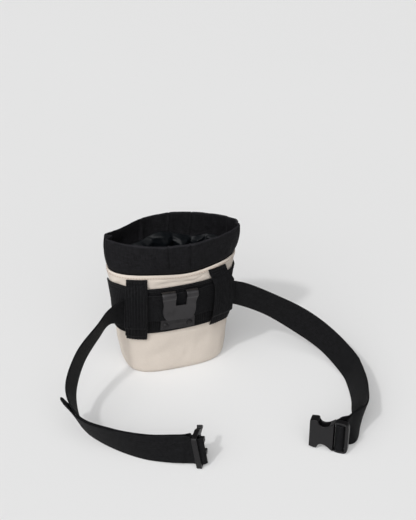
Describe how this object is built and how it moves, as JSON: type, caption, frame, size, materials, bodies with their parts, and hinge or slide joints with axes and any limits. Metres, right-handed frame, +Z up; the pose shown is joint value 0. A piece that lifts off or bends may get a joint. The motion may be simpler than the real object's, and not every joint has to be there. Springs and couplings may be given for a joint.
{
  "type": "dog treat pouch",
  "caption": "Stand-up canvas treat pouch with an open black cuff, a steel belt clip and a webbing waist belt that runs through keeper loops to a side-release buckle.",
  "frame": {"origin": "middle of the pouch's base, on the surface it stands on", "axes": "+Z up, -Y towards the wearer's side with the belt and the clip, +X to the right as that side is seen"},
  "size_m": [0.3745, 0.2972, 0.187],
  "materials": {
    "canvas": "cream cotton canvas",
    "black_cloth": "black ribbed cloth",
    "lining_cloth": "black coated nylon, slightly glossy",
    "webbing": "black woven webbing",
    "steel": "dark grey painted spring steel",
    "plastic": "dark grey moulded plastic"
  },
  "bodies": {
    "root": {"body_canvas": "canvas", "collar": "black_cloth", "lining": "lining_cloth", "back_panel": "black_cloth", "loop_left": "webbing", "loop_right": "webbing", "belt_clip": "steel", "rivet_left": "steel", "rivet_right": "steel", "waist_belt": "webbing", "buckle_female": "plastic", "buckle_male": "plastic"}
  },
  "joints": []
}
